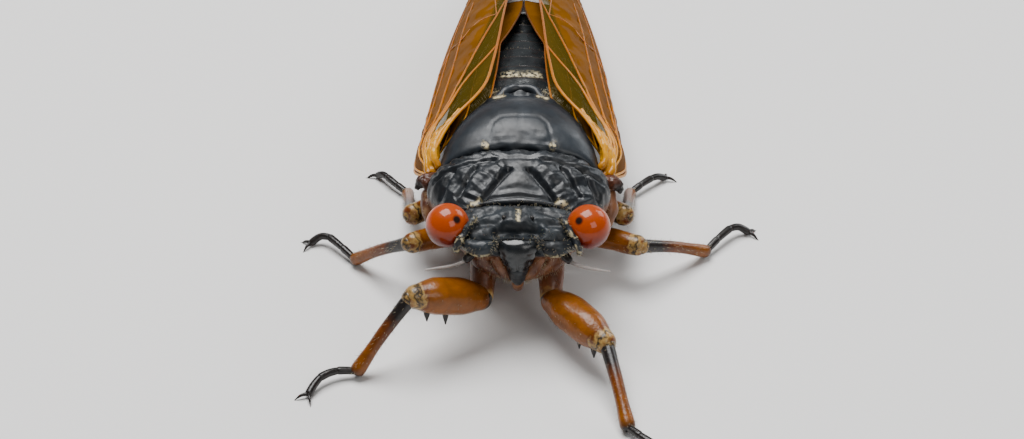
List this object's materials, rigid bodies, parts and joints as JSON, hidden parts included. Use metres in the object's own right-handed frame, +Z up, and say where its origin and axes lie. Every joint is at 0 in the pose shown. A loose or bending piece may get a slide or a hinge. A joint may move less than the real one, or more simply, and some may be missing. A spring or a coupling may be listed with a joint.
{
  "type": "periodical cicada",
  "caption": "Life-size red-eyed periodical cicada standing on a flat surface with roof-like folded amber wings, black body and orange legs, as a still display model",
  "frame": {"origin": "on the floor, under the centre of the bounding box", "axes": "+Z up, the insect faces -Y, +Y towards the wing tips, +X is the insect's left"},
  "size_m": [0.0256, 0.0524, 0.0085],
  "materials": {
    "cuticle_black": "glossy black cuticle with slate-blue lights",
    "cuticle_brown": "satin reddish-brown cuticle",
    "leg_orange": "glossy orange-brown cuticle with cream rings at the knees",
    "eye_red": "very glossy orange-red compound eye",
    "wing_membrane": "clear amber-brown membrane with raised orange and cream veins"
  },
  "bodies": {
    "root": {"head": "cuticle_black", "rostrum": "cuticle_brown", "pronotum": "cuticle_black", "mesothorax": "cuticle_black", "abdomen": "cuticle_black", "eye_left": "eye_red", "antenna_left": "cuticle_brown", "forewing_left": "wing_membrane", "hindwing_left": "wing_membrane", "fore_coxa_left": "cuticle_brown", "fore_femur_left": "leg_orange", "fore_tibia_left": "leg_orange", "fore_tarsus_left": "cuticle_black", "mid_coxa_left": "cuticle_brown", "mid_femur_left": "leg_orange", "mid_tibia_left": "leg_orange", "mid_tarsus_left": "cuticle_black", "hind_coxa_left": "cuticle_brown", "hind_femur_left": "leg_orange", "hind_tibia_left": "leg_orange", "hind_tarsus_left": "cuticle_black", "eye_right": "eye_red", "antenna_right": "cuticle_brown", "forewing_right": "wing_membrane", "hindwing_right": "wing_membrane", "fore_coxa_right": "cuticle_brown", "fore_femur_right": "leg_orange", "fore_tibia_right": "leg_orange", "fore_tarsus_right": "cuticle_black", "mid_coxa_right": "cuticle_brown", "mid_femur_right": "leg_orange", "mid_tibia_right": "leg_orange", "mid_tarsus_right": "cuticle_black", "hind_coxa_right": "cuticle_brown", "hind_femur_right": "leg_orange", "hind_tibia_right": "leg_orange", "hind_tarsus_right": "cuticle_black"}
  },
  "joints": []
}
